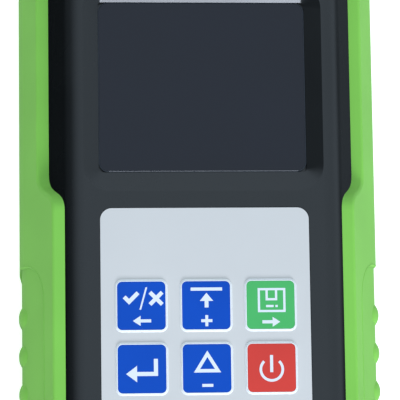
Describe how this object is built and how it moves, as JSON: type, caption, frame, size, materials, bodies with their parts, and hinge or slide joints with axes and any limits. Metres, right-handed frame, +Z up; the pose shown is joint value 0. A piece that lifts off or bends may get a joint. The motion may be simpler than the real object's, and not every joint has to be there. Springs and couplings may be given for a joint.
{
  "type": "optical power meter",
  "caption": "Handheld fibre-optic power meter: tapered dark case with a recessed display window and a colour keypad, inside a ribbed green rubber boot.",
  "frame": {"origin": "middle of the overall length and width, dust cap included, on the plane of the boot's back", "axes": "+X across the case to the right of the display, +Y along the case towards the optical port, +Z up through the front face"},
  "size_m": [0.0824, 0.1844, 0.0335],
  "materials": {
    "boot_rubber": "satin moulded rubber, bright green",
    "case_plastic": "fine moulded texture, dark grey",
    "window_lens": "polished smoked window",
    "display_glass": "dark display, switched off",
    "frame_plastic": "black moulding",
    "label_film": "pale grey satin film",
    "key_blue": "blue field with a white rim",
    "key_green": "green field with a white rim",
    "key_red": "red field with a white rim",
    "steel": "bright steel",
    "board_laminate": "green solder mask",
    "chip_plastic": "black chip packages",
    "can_metal": "plated sheet metal",
    "adapter_metal": "nickel-plated brass",
    "cap_rubber": "black soft rubber",
    "contact_metal": "nickel-plated spring steel",
    "cell_jacket": "printed cell jacket"
  },
  "bodies": {
    "meter": {"rubber_boot": "boot_rubber", "front_shell": "case_plastic", "rear_shell": "case_plastic", "display_window": "window_lens", "display_panel": "display_glass", "display_frame": "frame_plastic", "keypad_overlay": "label_film", "snap_domes": "steel", "main_board": "board_laminate", "port_board": "board_laminate", "board_chips": "chip_plastic", "board_screws": "steel", "case_screws": "steel", "adapter_screws": "steel", "detector_holder": "frame_plastic", "photodiode": "can_metal", "connector_adapter": "adapter_metal", "usb_socket": "can_metal", "battery_contacts": "contact_metal", "battery_springs": "contact_metal", "battery_left": "cell_jacket", "battery_middle": "cell_jacket", "battery_right": "cell_jacket"},
    "cap": {"dust_cap": "cap_rubber"},
    "door": {"battery_door": "case_plastic"},
    "key_pass_fail_body": {"key_pass_fail": "key_blue"},
    "key_threshold_body": {"key_threshold": "key_blue"},
    "key_save_body": {"key_save": "key_green"},
    "key_ok_body": {"key_ok": "key_blue"},
    "key_reference_body": {"key_reference": "key_blue"},
    "key_power_body": {"key_power": "key_red"}
  },
  "joints": [
    {"name": "dust_cap_pull", "type": "slide", "parent": "meter", "child": "cap", "axis": [0, 1, 0], "range_m": [0, 0.045]},
    {"name": "battery_door_swing", "type": "hinge", "parent": "meter", "child": "door", "pos_m": [0, -0.00695, 0.002], "axis": [1, 0, 0], "range_deg": [0, 95]},
    {"name": "key_pass_fail_press", "type": "slide", "parent": "meter", "child": "key_pass_fail_body", "axis": [0, 0, -1], "range_m": [0, 0.0005], "stiffness_N_per_m": 300, "springref_m": -0.001},
    {"name": "key_threshold_press", "type": "slide", "parent": "meter", "child": "key_threshold_body", "axis": [0, 0, -1], "range_m": [0, 0.0005], "stiffness_N_per_m": 300, "springref_m": -0.001},
    {"name": "key_save_press", "type": "slide", "parent": "meter", "child": "key_save_body", "axis": [0, 0, -1], "range_m": [0, 0.0005], "stiffness_N_per_m": 300, "springref_m": -0.001},
    {"name": "key_ok_press", "type": "slide", "parent": "meter", "child": "key_ok_body", "axis": [0, 0, -1], "range_m": [0, 0.0005], "stiffness_N_per_m": 300, "springref_m": -0.001},
    {"name": "key_reference_press", "type": "slide", "parent": "meter", "child": "key_reference_body", "axis": [0, 0, -1], "range_m": [0, 0.0005], "stiffness_N_per_m": 300, "springref_m": -0.001},
    {"name": "key_power_press", "type": "slide", "parent": "meter", "child": "key_power_body", "axis": [0, 0, -1], "range_m": [0, 0.0005], "stiffness_N_per_m": 300, "springref_m": -0.001}
  ]
}
